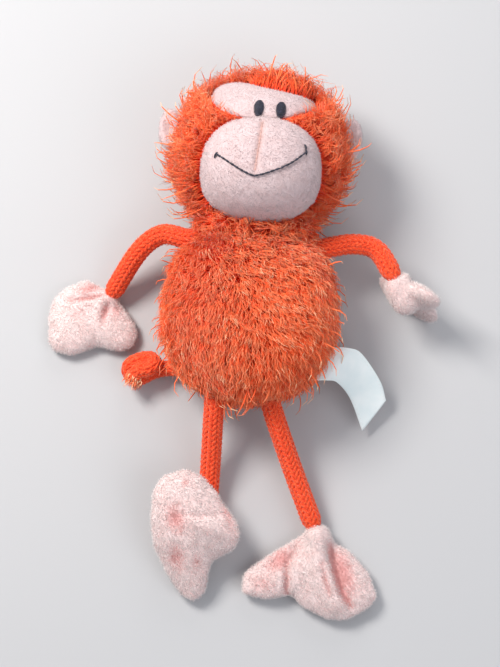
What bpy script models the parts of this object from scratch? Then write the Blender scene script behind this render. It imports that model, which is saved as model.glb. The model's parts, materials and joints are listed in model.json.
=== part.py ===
"""Stuffed monkey: a shaggy plush animal with knitted cord limbs, lying on its back.

Metres, +Z up out of the belly, +Y towards the top of the head, +X to the toy's own left.
The origin is the middle of the flat patch that the body rests on. All sizes below are in
millimetres and are turned into metres where the meshes are made.
"""
from math import cos, pi, radians, sin

import bmesh
import bpy
from mathutils import Matrix, Vector

MM = 0.001
GAP = 0.3                # clearance left between touching pieces

# body: pear outline in plan, split into two panels at the side seam
BODY_WIDTH, BODY_LOWER, BODY_UPPER = 35.5, 34.5, 38.5
BODY_SEAM, BODY_TOP = 25.0, 52.0
FUR_WALL = 1.5           # fur cloth with the root of its pile
SKIRT = 0.8              # upright edge where a panel meets its seam
AROUND, UPWARDS = 24, 5  # facets round the large forms, and from their seam to their top

# head
HEAD_CENTRE = (0.0, 74.7)
HEAD_WIDTH, HEAD_HEIGHT = 35.0, 31.0
HEAD_SEAM, HEAD_TOP = 30.0, 60.0
HEAD_POWER = 2.2

# neck: the turn axis is Y and the nod axis is X, through NECK
NECK = (0.0, 41.0, 28.0)
NECK_RADIUS, NECK_LOW, NECK_HIGH = 10.0, 38.9, 40.6

# muzzle: a dome sewn over the lower face
MUZZLE_CENTRE = (1.1, 64.0)
MUZZLE_WIDTH, MUZZLE_HEIGHT = 27.0, 24.5
MUZZLE_SEAM, MUZZLE_TOP, MUZZLE_UNDER = 44.0, 70.0, 34.0
MUZZLE_POWER = 2.3
VELOUR = 1.0             # face, hand, foot and ear cloth
FILLING_INSET, FILLING_SHARE = 5.0, 0.5     # hand and foot filling inside its cloth

# face
PATCH_CENTRE, PATCH_WIDTH, PATCH_HEIGHT = (0.0, 92.0), 22.0, 8.6
EYES = {"right_eye": (-1.1, 90.0), "left_eye": (8.6, 90.1)}
EYE_WIDTH, EYE_HEIGHT = 2.2, 3.8
MOUTH_ENDS, MOUTH_LOW = ((-18.0, 66.2), (21.0, 69.0)), (-1.3, 55.1)
SEAM_ENDS = ((0.6, 79.5), (-1.0, 56.8))
THREAD = 0.5

# ears: one on each side, hinged on the line where they are sewn in
EAR_CENTRE, EAR_WIDTH, EAR_HEIGHT = (41.4, 85.0), 5.0, 9.8
EAR_PIVOT_X = 34.6

# limbs: knitted cord, each chain listed from the stub in the side seam to the hand or foot
CORD = 4.75              # radius
STUB_DEPTH = 10.0        # how far a stub starts inside its pivot
RIGHT_ARM = ((-29.5, 35.5, 26.0), (-52.0, 30.1, 18.0), (-62.9, 13.6, 7.0))
LEFT_ARM = ((30.0, 34.5, 26.0), (55.0, 35.4, 27.0), (62.4, 25.0, 28.4))
RIGHT_LEG = ((-13.3, -40.5, 22.0), (-13.5, -67.5, 9.0), (-14.0, -94.0, 5.6))
LEFT_LEG = ((13.3, -40.5, 22.0), (24.0, -65.5, 12.5), (33.7, -87.0, 7.4))
RIGHT_ARM_BOW = (-41.6, 37.6, 22.5)
LEFT_ARM_BOW = (44.2, 37.4, 26.6)

# mitten outline from the wrist: along the hand, then across it towards the thumb
HAND = (
    (3.0, 0.5), (3.2, -4.5), (5.3, -12.9), (13.8, -16.9), (20.9, -17.8), (28.5, -14.0),
    (36.9, -6.3), (38.1, -2.1), (35.2, 4.0), (29.6, 7.5), (23.6, 10.1), (21.6, 14.5),
    (18.4, 20.2), (14.0, 22.8), (8.8, 21.3), (6.1, 17.1), (4.4, 10.5), (3.4, 4.5),
)
HAND_MIDDLE, HAND_HALF = (17.5, 2.5), 4.5
RIGHT_HAND_HEADING = radians(232.0)
LEFT_HAND_HEADING, LEFT_HAND_DIP, LEFT_HAND_LEAN = radians(-29.0), radians(40.0), radians(7.0)

# foot outlines in plan, from the ankle
RIGHT_FOOT = (
    (-10.2, 26.4), (-19.8, 22.7), (-23.9, 15.9), (-24.4, 4.7), (-22.3, -8.0), (-15.8, -19.5),
    (-9.0, -28.3), (-3.4, -31.1), (1.6, -27.0), (2.6, -17.5), (3.6, -13.2), (8.2, -10.5),
    (13.4, -7.5), (15.9, -1.6), (14.0, 4.8), (8.7, 10.7), (4.3, 17.0), (-2.8, 23.7),
)
LEFT_FOOT = (
    (-30.0, -29.7), (-28.8, -23.8), (-16.8, -14.2), (-6.4, -7.3), (0.2, -3.2), (6.5, -6.5),
    (17.6, -11.6), (26.7, -21.3), (30.7, -31.3), (27.4, -36.3), (17.0, -42.3),
    (9.4, -42.3), (-2.5, -37.3), (-7.2, -32.3), (-19.6, -35.2), (-29.1, -33.2),
)
RIGHT_FOOT_MIDDLE, LEFT_FOOT_MIDDLE = (-6.0, -2.0), (1.0, -24.0)
FOOT_HALF = 5.0

# tail: a cord sewn in low on the right, knotted, with a tuft
TAIL = ((-27.0, -20.5, 6.2), (-37.0, -20.5, 5.4))
TAIL_KNOT, TAIL_KNOT_SIZE = (-43.3, -19.0, 7.2), (6.4, 7.2, 7.0)
TAIL_TUFT, TAIL_TUFT_SIZE = (-51.6, -25.6, 6.4), (6.0, 7.0, 6.2)

# care label: a ribbon from the left side seam
LABEL_OUTER = ((36.6, -9.9, 25.5), (45.5, -9.8, 25.0), (51.5, -11.6, 21.0),
               (60.6, -21.9, 13.0), (64.0, -29.9, 8.0))
LABEL_INNER = ((29.0, -25.6, 25.5), (36.0, -25.0, 25.2), (41.0, -25.3, 22.0),
               (47.5, -31.0, 13.5), (54.1, -44.1, 5.0))
LABEL_THICKNESS = 0.6

COLOURS = {
    "fur": (0.94, 0.12, 0.03), "fur_back": (0.80, 0.09, 0.02), "yarn": (0.83, 0.10, 0.03),
    "velour": (0.82, 0.58, 0.56), "plush": (0.88, 0.60, 0.57), "fibre": (0.90, 0.89, 0.86),
    "thread": (0.01, 0.01, 0.02), "seam": (0.70, 0.45, 0.44), "satin": (0.86, 0.92, 0.92),
}


# ---------------------------------------------------------------- objects and materials
def clear_scene():
    for thing in list(bpy.data.objects):
        bpy.data.objects.remove(thing, do_unlink=True)


def new_collection(name):
    group = bpy.data.collections.new(name)
    bpy.context.scene.collection.children.link(group)
    return group


def material(name):
    """A plain cloth-like material, made once for each colour."""
    if name in bpy.data.materials:
        return bpy.data.materials[name]
    made = bpy.data.materials.new(name)
    made.use_nodes = True
    shader = made.node_tree.nodes["Principled BSDF"]
    shader.inputs["Base Color"].default_value = (*COLOURS[name], 1.0)
    shader.inputs["Roughness"].default_value = 0.45 if name == "satin" else 0.9
    shader.inputs["Metallic"].default_value = 0.0
    return made


def add_object(name, data, group, colour):
    thing = bpy.data.objects.new(name, data)
    group.objects.link(thing)
    if colour:
        data.materials.append(material(colour))
    return thing


def mesh_object(name, shape, group, colour=None, pivot=(0.0, 0.0, 0.0)):
    """A bmesh in millimetres becomes an object in metres, with its origin at the pivot."""
    bmesh.ops.recalc_face_normals(shape, faces=shape.faces)
    origin = Vector(pivot) * MM
    for vert in shape.verts:
        vert.co = vert.co * MM - origin
    data = bpy.data.meshes.new(name)
    shape.to_mesh(data)
    shape.free()
    data.shade_smooth()
    thing = add_object(name, data, group, colour)
    thing.location = origin
    return thing


def cutter(name, shape, group):
    thing = mesh_object(name, shape, group)
    thing.hide_render = True
    thing.display_type = "WIRE"
    return thing


def cut(thing, tool):
    boolean = thing.modifiers.new("cut_" + tool.name, "BOOLEAN")
    boolean.operation = "DIFFERENCE"
    boolean.solver = "EXACT"
    boolean.object = tool


def solidify(thing, thickness):
    """Thickens an open surface inwards."""
    shell = thing.modifiers.new("cloth", "SOLIDIFY")
    shell.thickness = thickness * MM
    shell.offset = -1.0
    shell.use_even_offset = True


# ---------------------------------------------------------------- outlines and heights
def power(value, exponent):
    return (abs(value) ** exponent) * (1.0 if value >= 0 else -1.0)


def egg(width, lower, upper, lower_power, upper_power, count):
    """Closed outline whose lower and upper halves differ, anticlockwise from +X."""
    points = []
    for step in range(count):
        angle = 2 * pi * step / count
        bend = 2 / (upper_power if sin(angle) >= 0 else lower_power)
        reach = upper if sin(angle) >= 0 else lower
        points.append((width * power(cos(angle), bend), reach * power(sin(angle), bend)))
    return points


def smooth_path(points, per_span):
    """Catmull-Rom curve through an open list of points."""
    ends = [2 * Vector(points[0]) - Vector(points[1])]
    ends += [Vector(point) for point in points]
    ends.append(2 * Vector(points[-1]) - Vector(points[-2]))
    result = []
    for index in range(1, len(ends) - 2):
        a, b, c, d = ends[index - 1:index + 3]
        for step in range(per_span):
            t = step / per_span
            result.append(0.5 * (2 * b + (c - a) * t + (2 * a - 5 * b + 4 * c - d) * t**2
                                 + (3 * b - a - 3 * c + d) * t**3))
    return result + [ends[-2]]


def bulge_height(x, y, centre, width, height, bend):
    """Share of a bulging form's height above its seam, at a point in plan."""
    out = abs((x - centre[0]) / width) ** bend + abs((y - centre[1]) / height) ** bend
    return max(0.0, 1.0 - out) ** (1 / bend)


def head_surface(x, y):
    share = bulge_height(x, y, HEAD_CENTRE, HEAD_WIDTH, HEAD_HEIGHT, HEAD_POWER)
    return HEAD_SEAM + SKIRT + (HEAD_TOP - HEAD_SEAM - SKIRT) * share


def muzzle_surface(x, y):
    share = bulge_height(x, y, MUZZLE_CENTRE, MUZZLE_WIDTH, MUZZLE_HEIGHT, MUZZLE_POWER)
    return MUZZLE_SEAM + SKIRT + (MUZZLE_TOP - MUZZLE_SEAM - SKIRT) * share


# ---------------------------------------------------------------- lofts
def ring(shape, points):
    return [shape.verts.new(point) for point in points]


def skin(shape, lower, upper):
    count = len(lower)
    for index in range(count):
        after = (index + 1) % count
        shape.faces.new((lower[index], lower[after], upper[after], upper[index]))


def dome_rings(outline, middle, seam, height, bend, steps):
    """Rings of a dome over an outline, from an upright skirt to a flat cap.

    A dome that hangs below its seam reaches its full height at the cap, which can rest.
    """
    skirt = SKIRT if height > 0 else -SKIRT
    rings = [[(x, y, seam) for x, y in outline]]
    for step in range(steps):
        angle = 0.5 * pi * step / steps
        share, lift = cos(angle) ** (2 / bend), sin(angle) ** (2 / bend)
        if step == steps - 1 and height < 0:
            lift = 1.0
        level = seam + skirt + (height - skirt) * lift
        rings.append([(middle[0] + (x - middle[0]) * share,
                       middle[1] + (y - middle[1]) * share, level) for x, y in outline])
    return rings


def dome(outline, middle, seam, height, bend, steps, place=None):
    """Open dome from the seam to a flat cap, moved by place where one is given."""
    shape = bmesh.new()
    rings = [ring(shape, points)
             for points in dome_rings(outline, middle, seam, height, bend, steps)]
    for lower, upper in zip(rings, rings[1:]):
        skin(shape, lower, upper)
    shape.faces.new(rings[-1])
    if height < 0:
        bmesh.ops.reverse_faces(shape, faces=shape.faces)
    if place:
        move(shape, place)
    return shape


def pillow(outline, middle, seam, above, below, bend, steps, place=None):
    """Closed form with a dome above and a dome below its seam."""
    shape = bmesh.new()
    top = dome_rings(outline, middle, seam, above, bend, steps)
    bottom = dome_rings(outline, middle, seam, -below, bend, steps)
    rings = [ring(shape, points) for points in bottom[:0:-1] + top]
    for lower, upper in zip(rings, rings[1:]):
        skin(shape, lower, upper)
    shape.faces.new(rings[0])
    shape.faces.new(rings[-1])
    if place:
        move(shape, place)
    return shape


def move(shape, place):
    for vert in shape.verts:
        vert.co = place(vert.co)


def inset(outline, middle, distance):
    """The outline drawn in towards its middle by about one distance all round."""
    result = []
    for x, y in outline:
        arm = Vector((x - middle[0], y - middle[1]))
        arm *= max(0.0, 1 - distance / arm.length)
        result.append((middle[0] + arm.x, middle[1] + arm.y))
    return result


def cloth_layer(name, outline, middle, surface, lift, thickness, group, colour):
    """A thin layer that follows a surface, like a patch or embroidery."""
    shape = bmesh.new()
    layers = []
    for height in (lift, lift + thickness):
        for share in (1.0, 0.66, 0.33):
            flat = [(middle[0] + (x - middle[0]) * share, middle[1] + (y - middle[1]) * share)
                    for x, y in outline]
            layers.append([(x, y, surface(x, y) + height) for x, y in flat])
    rings = [ring(shape, points) for points in layers[2::-1] + layers[3:]]
    for lower, upper in zip(rings, rings[1:]):
        skin(shape, lower, upper)
    shape.faces.new(rings[0])
    shape.faces.new(rings[-1])
    return mesh_object(name, shape, group, colour)


def ellipse(centre, width, height, count):
    return [(centre[0] + width * cos(2 * pi * step / count),
             centre[1] + height * sin(2 * pi * step / count)) for step in range(count)]


# ---------------------------------------------------------------- cords and threads
def tube(name, points, radius, shares, sides, group, colour):
    """Round cord through points in millimetres, with a share of the radius at each."""
    data = bpy.data.curves.new(name, "CURVE")
    data.dimensions = "3D"
    data.bevel_depth = radius * MM
    data.bevel_resolution = sides
    data.use_fill_caps = True
    data.render_resolution_u = 0
    line = data.splines.new("POLY")
    line.points.add(len(points) - 1)
    origin = Vector(points[0])
    for point, place, share in zip(line.points, points, shares):
        point.co = (*((Vector(place) - origin) * MM), 1.0)
        point.radius = share
    thing = add_object(name, data, group, colour)
    thing.location = origin * MM
    return thing


def cord(name, path, group, pointed=(True, True)):
    """A length of knitted cord. A pointed end is a cone with its tip at the hinge."""
    points = smooth_path(path, 4)
    start = (points[1] - points[0]).normalized()
    end = (points[-1] - points[-2]).normalized()
    body = [place for place in points
            if (place - points[0]).dot(start) > CORD + 1.0 or not pointed[0]]
    body = [place for place in body
            if (points[-1] - place).dot(end) > CORD + 1.0 or not pointed[1]]
    shares = [1.0] * len(body)
    if pointed[0]:
        body = [points[0] + start * 0.25, points[0] + start * (CORD + 0.25)] + body
        shares = [0.03, 1.0] + shares
    if pointed[1]:
        body += [points[-1] - end * (CORD + 0.25), points[-1] - end * 0.25]
        shares += [1.0, 0.03]
    return tube(name, body, CORD, shares, 2, group, "yarn")


def thread(name, path, surface, radius, group, colour):
    """A stitched line that lies on a surface, just clear of it."""
    points = []
    for flat in smooth_path([(x, y, 0.0) for x, y in path], 3):
        x, y = flat.x, flat.y
        slope_x = surface(x + 0.5, y) - surface(x - 0.5, y)
        slope_y = surface(x, y + 0.5) - surface(x, y - 0.5)
        out = Vector((-slope_x, -slope_y, 1.0)).normalized()
        points.append(Vector((x, y, surface(x, y))) + out * (radius + 1.5 * GAP))
    return tube(name, points, radius, [1.0] * len(points), 1, group, colour)


def rod(start, end, radius, sides=16):
    """A round bar between two points, as a cutter's shape."""
    along = Vector(end) - Vector(start)
    turn = along.to_track_quat("Z", "Y").to_matrix().to_4x4()
    middle = Matrix.Translation((Vector(start) + Vector(end)) / 2)
    shape = bmesh.new()
    bmesh.ops.create_cone(shape, cap_ends=True, segments=sides, radius1=radius,
                          radius2=radius, depth=along.length, matrix=middle @ turn)
    return shape


# ---------------------------------------------------------------- the toy's pieces
def stub_start(pivot, target):
    """Where a limb's stub begins inside the body."""
    inwards = (Vector(target) - Vector(pivot)).normalized()
    return Vector(pivot) + inwards * STUB_DEPTH


def stubs():
    """Each stub's name, inner end and pivot."""
    return (
        ("right_shoulder_cord", stub_start(RIGHT_ARM[0], (0, 26, 26)), RIGHT_ARM[0]),
        ("left_shoulder_cord", stub_start(LEFT_ARM[0], (0, 26, 26)), LEFT_ARM[0]),
        ("right_hip_cord", stub_start(RIGHT_LEG[0], (-9, 0, 24)), RIGHT_LEG[0]),
        ("left_hip_cord", stub_start(LEFT_LEG[0], (9, 0, 24)), LEFT_LEG[0]),
    )


def make_body(group, cutters):
    outline = egg(BODY_WIDTH, BODY_LOWER, BODY_UPPER, 2.1, 2.8, AROUND)
    middle = (0.0, 0.0)
    rise, fall = BODY_TOP - BODY_SEAM - GAP / 2, BODY_SEAM - GAP / 2
    front = mesh_object("body_front_fur", dome(outline, middle, BODY_SEAM + GAP / 2, rise,
                                               2.3, UPWARDS), group, "fur")
    back = mesh_object("body_back_fur", dome(outline, middle, BODY_SEAM - GAP / 2, -fall,
                                             2.6, UPWARDS), group, "fur_back")
    core = inset(outline, middle, FUR_WALL + 0.8)
    filling = mesh_object("body_stuffing",
                          pillow(core, middle, BODY_SEAM, rise - 2.2, fall - 2.2, 2.3, UPWARDS),
                          group, "fibre")
    for panel in (front, back):
        solidify(panel, FUR_WALL)
    for name, inner, pivot in stubs():
        deep = Vector(inner) + (Vector(inner) - Vector(pivot)).normalized() * GAP
        hole = cutter("cut_" + name, rod(deep, pivot, CORD + GAP), cutters)
        for piece in (front, back, filling):
            cut(piece, hole)
        tip = (Vector(pivot) - Vector(inner)).normalized()
        cord(name, (inner, Vector(inner) + tip * 4, pivot), group, (False, True))


def make_neck(group):
    low, high = (0.0, NECK_LOW, NECK[2]), (0.0, NECK_HIGH, NECK[2])
    mesh_object("neck_gather", rod(low, high, NECK_RADIUS, 24), group, "fur_back", NECK)


def make_head(group):
    outline = [(HEAD_CENTRE[0] + x, HEAD_CENTRE[1] + y) for x, y in
               egg(HEAD_WIDTH, HEAD_HEIGHT, HEAD_HEIGHT, HEAD_POWER, HEAD_POWER, AROUND)]
    rise, fall = HEAD_TOP - HEAD_SEAM - GAP / 2, HEAD_SEAM - GAP / 2
    front = mesh_object("head_front_fur", dome(outline, HEAD_CENTRE, HEAD_SEAM + GAP / 2,
                                               rise, HEAD_POWER, UPWARDS), group, "fur", NECK)
    back = mesh_object("head_back_fur", dome(outline, HEAD_CENTRE, HEAD_SEAM - GAP / 2,
                                             -fall, 2.5, UPWARDS), group, "fur_back", NECK)
    for panel in (front, back):
        solidify(panel, FUR_WALL)
    core = inset(outline, HEAD_CENTRE, FUR_WALL + 0.8)
    mesh_object("head_stuffing", pillow(core, HEAD_CENTRE, HEAD_SEAM, rise - 2.2, fall - 2.2,
                                        HEAD_POWER, UPWARDS), group, "fibre", NECK)


def head_form(extra):
    """The head's outer form, swollen by a little, as a cutter's shape."""
    outline = [(HEAD_CENTRE[0] + x, HEAD_CENTRE[1] + y) for x, y in
               egg(HEAD_WIDTH + extra, HEAD_HEIGHT + extra, HEAD_HEIGHT + extra,
                   HEAD_POWER, HEAD_POWER, AROUND)]
    return pillow(outline, HEAD_CENTRE, HEAD_SEAM, HEAD_TOP - HEAD_SEAM + extra,
                  HEAD_SEAM, HEAD_POWER, UPWARDS)


def muzzle_form(extra):
    outline = [(MUZZLE_CENTRE[0] + x, MUZZLE_CENTRE[1] + y) for x, y in
               egg(MUZZLE_WIDTH + extra, MUZZLE_HEIGHT + extra, MUZZLE_HEIGHT + extra,
                   MUZZLE_POWER, MUZZLE_POWER, AROUND)]
    return pillow(outline, MUZZLE_CENTRE, MUZZLE_SEAM, MUZZLE_TOP - MUZZLE_SEAM + extra,
                  MUZZLE_SEAM - MUZZLE_UNDER + extra, MUZZLE_POWER, UPWARDS)


def make_muzzle(group, cutters):
    inside = cutter("cut_muzzle_inside", muzzle_form(-VELOUR), cutters)
    swell = cutter("cut_head_swell", head_form(GAP + 0.2), cutters)
    panel = mesh_object("muzzle_panel", muzzle_form(0.0), group, "velour", NECK)
    cut(panel, inside)
    cut(panel, swell)
    filling = mesh_object("muzzle_stuffing", muzzle_form(-VELOUR - 0.5), group, "fibre",
                          NECK)
    cut(filling, swell)
    low = MOUTH_LOW
    right, left = MOUTH_ENDS
    smile = (right, (-9.7, 59.4), low, (9.7, 60.4), left)
    thread("mouth_thread", smile, muzzle_surface, THREAD, group, "thread")
    thread("muzzle_seam_thread", SEAM_ENDS, muzzle_surface, THREAD * 0.7, group, "seam")


def make_face(group, cutters):
    swell = cutter("cut_muzzle_swell", muzzle_form(GAP + 0.2), cutters)
    outline = ellipse(PATCH_CENTRE, PATCH_WIDTH, PATCH_HEIGHT, 24)
    patch = cloth_layer("face_patch", outline, PATCH_CENTRE, head_surface, 0.5, VELOUR,
                        group, "velour")
    cut(patch, swell)
    for name, centre in EYES.items():
        eye = cloth_layer(name, ellipse(centre, EYE_WIDTH, EYE_HEIGHT, 14), centre,
                          head_surface, 0.5 + VELOUR + GAP, 0.7, group, "thread")
        cut(eye, swell)


def cushion(base, outline, middle, half, group, names, colour, pivot, place=None, steps=3):
    """Two cloth panels and their filling over one outline, seamed at mid-thickness."""
    above = dome(outline, middle, base + half + GAP / 2, half - GAP / 2, 2.0, steps)
    below = dome(outline, middle, base + half - GAP / 2, -(half - GAP / 2), 2.0, steps)
    core = inset(outline, middle, VELOUR + FILLING_INSET)
    thick = half * FILLING_SHARE
    filling = pillow(core, middle, base + half, thick, thick, 2.0, steps)
    for name, shape, slot in zip(names, (above, below, filling), (colour, colour, "fibre")):
        if place:
            move(shape, place)
        piece = mesh_object(name, shape, group, slot, pivot)
        if slot != "fibre":
            solidify(piece, VELOUR)


def make_ears(group):
    for side, sign in (("right", -1.0), ("left", 1.0)):
        centre = (sign * EAR_CENTRE[0], EAR_CENTRE[1])
        pivot = (sign * EAR_PIVOT_X, EAR_CENTRE[1], HEAD_SEAM)
        outline = ellipse(centre, EAR_WIDTH, EAR_HEIGHT, 16)
        for name, base, thick in ((side + "_ear_back", -2.1, 1.9), (side + "_ear_front", 0.2,
                                                                    1.9)):
            shape = pillow(outline, centre, HEAD_SEAM + base + thick / 2, thick / 2,
                           thick / 2, 3.0, 3)
            mesh_object(name, shape, group, "velour", pivot)


def hand_frame(wrist, heading, dip, roll):
    """Turns hand coordinates (along, across, out of the palm) into the toy's."""
    turn = (Matrix.Rotation(heading, 3, "Z") @ Matrix.Rotation(dip, 3, "Y")
            @ Matrix.Rotation(roll, 3, "X"))
    return lambda point: Vector(wrist) + turn @ Vector(point)


def make_hands(group):
    frame = hand_frame(RIGHT_ARM[-1], RIGHT_HAND_HEADING, 0.0, 0.0)
    names = ("right_hand_back", "right_hand_palm", "right_hand_stuffing")
    cushion(-RIGHT_ARM[-1][2], HAND, HAND_MIDDLE, HAND_HALF, group, names, "plush",
            RIGHT_ARM[-1], frame)
    frame = hand_frame(LEFT_ARM[-1], LEFT_HAND_HEADING, LEFT_HAND_DIP,
                       pi / 2 - LEFT_HAND_LEAN)
    names = ("left_hand_back", "left_hand_palm", "left_hand_stuffing")
    cushion(-HAND_HALF, HAND, HAND_MIDDLE, HAND_HALF, group, names, "plush",
            LEFT_ARM[-1], frame)


def draped(point):
    """Lays the right foot over the end of its leg cord, with its toes on the floor."""
    ankle = RIGHT_LEG[-1]
    ahead = point.y - ankle[1]
    raised = 11.2 + 0.13 * max(0.0, ahead)
    slump = min(1.0, max(0.0, (-ahead - 1.0) / 26.0))
    return Vector((point.x, point.y, point.z + raised * (1 - slump)))


def make_feet(group):
    for side, ankle, outline, middle, place in (
            ("right", RIGHT_LEG[-1], RIGHT_FOOT, RIGHT_FOOT_MIDDLE, draped),
            ("left", LEFT_LEG[-1], LEFT_FOOT, LEFT_FOOT_MIDDLE, None)):
        plan = [(ankle[0] + x, ankle[1] + y) for x, y in outline]
        centre = (ankle[0] + middle[0], ankle[1] + middle[1])
        names = (side + "_foot_top", side + "_foot_sole", side + "_foot_stuffing")
        cushion(0.0, plan, centre, FOOT_HALF, group, names, "plush", ankle, place, 4)


def make_limbs(group):
    for side, arm, bow in (("right", RIGHT_ARM, RIGHT_ARM_BOW),
                           ("left", LEFT_ARM, LEFT_ARM_BOW)):
        cord(side + "_upper_arm_cord", (arm[0], bow, arm[1]), group)
        cord(side + "_forearm_cord", (arm[1], arm[2]), group)
    for side, leg in (("right", RIGHT_LEG), ("left", LEFT_LEG)):
        cord(side + "_thigh_cord", (leg[0], leg[1]), group)
        cord(side + "_shin_cord", (leg[1], leg[2]), group)


def ball(centre, size, rings, sides):
    shape = bmesh.new()
    bmesh.ops.create_uvsphere(shape, u_segments=sides, v_segments=rings, radius=1.0)
    bmesh.ops.scale(shape, vec=size, verts=shape.verts)
    bmesh.ops.translate(shape, vec=centre, verts=shape.verts)
    return shape


def make_tail(group, cutters):
    root, tip = TAIL
    cord("tail_cord", (root, tip), group, (True, False))
    knot = mesh_object("tail_knot", ball(TAIL_KNOT, TAIL_KNOT_SIZE, 8, 12), group, "yarn",
                       root)
    inwards = (Vector(tip) - Vector(root)).normalized()
    reach = Vector(tip) + inwards * GAP
    cut(knot, cutter("cut_tail_knot", rod(root, reach, CORD + GAP), cutters))
    tuft = mesh_object("tail_tuft", ball(TAIL_TUFT, TAIL_TUFT_SIZE, 8, 12), group, "yarn",
                       root)
    room = [value + GAP for value in TAIL_KNOT_SIZE]
    cut(tuft, cutter("cut_tail_tuft", ball(TAIL_KNOT, room, 10, 16), cutters))


def make_label(group):
    """A ribbon lofted between its two edges, then thickened."""
    shape = bmesh.new()
    outer = smooth_path(LABEL_OUTER, 2)
    inner = smooth_path(LABEL_INNER, 2)
    rows = []
    for a, b in zip(outer, inner):
        rows.append([shape.verts.new(a.lerp(b, share)) for share in (0.0, 0.33, 0.67, 1.0)])
    for near, far in zip(rows, rows[1:]):
        for index in range(len(near) - 1):
            shape.faces.new((near[index], near[index + 1], far[index + 1], far[index]))
    ribbon = mesh_object("care_label", shape, group, "satin", LABEL_OUTER[0])
    solidify(ribbon, LABEL_THICKNESS)


def main():
    clear_scene()
    toy = new_collection("stuffed_monkey")
    cutters = new_collection("cutters")
    make_body(toy, cutters)
    make_neck(toy)
    make_head(toy)
    make_muzzle(toy, cutters)
    make_face(toy, cutters)
    make_ears(toy)
    make_limbs(toy)
    make_hands(toy)
    make_feet(toy)
    make_tail(toy, cutters)
    make_label(toy)


main()
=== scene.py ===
"""Stuffed monkey: shaggy fur, velour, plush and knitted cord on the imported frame.

Lengths are written in millimetres and turned into metres by MM.
"""
import json
from math import atan2, cos, pi, radians, sin

import bmesh
import bpy
import numpy as np
from mathutils import Matrix, Vector
from mathutils.bvhtree import BVHTree
from mathutils.kdtree import KDTree


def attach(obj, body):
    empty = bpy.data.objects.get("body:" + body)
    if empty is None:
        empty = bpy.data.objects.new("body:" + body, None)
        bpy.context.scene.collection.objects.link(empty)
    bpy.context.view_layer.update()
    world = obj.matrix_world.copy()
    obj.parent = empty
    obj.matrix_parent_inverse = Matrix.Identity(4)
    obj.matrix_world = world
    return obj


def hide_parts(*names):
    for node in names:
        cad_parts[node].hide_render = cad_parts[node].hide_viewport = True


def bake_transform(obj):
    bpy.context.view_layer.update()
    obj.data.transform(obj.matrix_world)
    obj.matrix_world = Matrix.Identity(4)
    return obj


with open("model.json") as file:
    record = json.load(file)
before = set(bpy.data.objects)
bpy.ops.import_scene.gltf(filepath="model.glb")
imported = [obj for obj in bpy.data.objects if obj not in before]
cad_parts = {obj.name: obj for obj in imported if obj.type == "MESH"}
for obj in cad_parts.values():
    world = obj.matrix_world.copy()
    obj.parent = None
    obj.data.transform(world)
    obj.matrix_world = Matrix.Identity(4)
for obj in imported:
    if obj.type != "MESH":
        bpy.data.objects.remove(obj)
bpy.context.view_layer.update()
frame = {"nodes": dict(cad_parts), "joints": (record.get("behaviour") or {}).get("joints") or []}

MM = 0.001
JOINTS = {joint["name"]: joint for joint in frame["joints"]}
UP = np.array((0.0, 0.0, 1.0))
FLOOR_GAP = 0.25         # fur and cloth that reach the floor lie this far above it
CORD_GAP = 0.2           # and knitted cords this far

# camera: elevation and azimuth of the view, its distance and the point it looks at
VIEW_TILT, VIEW_TURN, VIEW_AWAY = 10.0, 3.5, 800.0
VIEW_TARGET = (0.7, -5.0, 20.0)
VIEW_LENS = 96.0

# soft forms
VOXEL, FUR_VOXEL, MUZZLE_VOXEL = 1.2, 2.2, 1.3
SKY_DIRECTIONS, OPEN_SHARE = 64, 0.3      # a face is outside if this share of them is free
SIM_SCALE, SIM_FRAMES, SIM_PRESSURE = 25.0, 12, 4.0
SIM_QUALITY, SIM_TENSION, SIM_BENDING = 6, 12, 0.6
FACE_MIDDLE = (1.1, 64.0)
PILE_UPRIGHT = 0.7                        # how upright short pile stands on its cloth
NECK_SIZE, NECK_FOLDS, NECK_DEPTH = (23.0, 8.5, 15.0), 14, 0.05

# fur: strands to a square millimetre, and the length of a strand
FUR_DENSITY, NECK_DENSITY = 2.2, 2.0
HEAD_FUR, BODY_FUR, NECK_FUR = 7.6, 7.0, 7.8
CROWN_GROWTH, FACE_TRIM = 2.6, 3.6        # longer on the crown, shorter beside the face
EAR_CLEARANCE, EAR_REACH, EAR_TRIM = 4.2, 9.0, 0.4
STRAND_RINGS = 5
STRAND_RADII = np.array((0.2, 0.19, 0.165, 0.12, 0.045))
FRINGE_RADII = np.array((0.34, 0.32, 0.28, 0.2, 0.1))
STRANDS_A_PIECE = 7400                    # keeps each piece under 200,000 triangles
HEAD_STRAYS, BODY_STRAYS, FRINGE_STRANDS = 330, 150, 260

# knitted cord
CORD = 4.75
WALES, COURSE = 6, 2.5
YARN, LOOP_DEPTH = 0.74, 0.45
LOOP_SWING = 0.27        # how far a loop leans over its neighbours, as a share of its width
STEPS_PER_STITCH = 14
FUZZ_A_MM = 55           # fibres to a millimetre of cord
END_TAPER = 6.0          # a limb narrows over this length inside its hand or foot

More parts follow.
